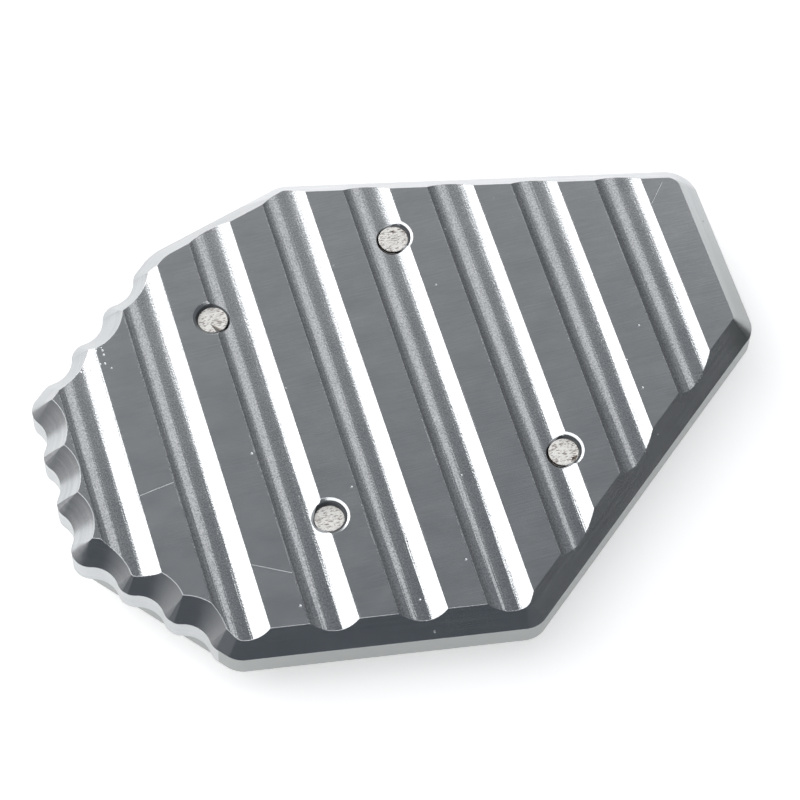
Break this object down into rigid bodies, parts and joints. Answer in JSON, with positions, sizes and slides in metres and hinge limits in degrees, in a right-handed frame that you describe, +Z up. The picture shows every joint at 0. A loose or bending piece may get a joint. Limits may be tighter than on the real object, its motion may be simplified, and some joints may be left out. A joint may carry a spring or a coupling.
{
  "type": "kickstand foot enlarger",
  "caption": "Milled aluminium plate that widens the foot of a motorcycle side stand, with a grooved tread, a chamfered and partly scalloped edge and a screwed-on clamp plate.",
  "frame": {"origin": "middle of the bounding box in X and Y, at the clamp plate's outer face, which the part rests on", "axes": "+X across the tread grooves, along the longest extent; +Y along the grooves, away from the viewer of the picture; +Z up, out of the tread face"},
  "size_m": [0.1032, 0.0786, 0.015],
  "materials": {
    "plate": "as milled, with cutter marks",
    "clamp": "as milled",
    "screw": "satin stainless steel, tips as cut"
  },
  "bodies": {
    "root": {"base_plate": "plate", "clamp_plate": "clamp", "screw_1": "screw", "screw_2": "screw", "screw_3": "screw", "screw_4": "screw"}
  },
  "joints": []
}
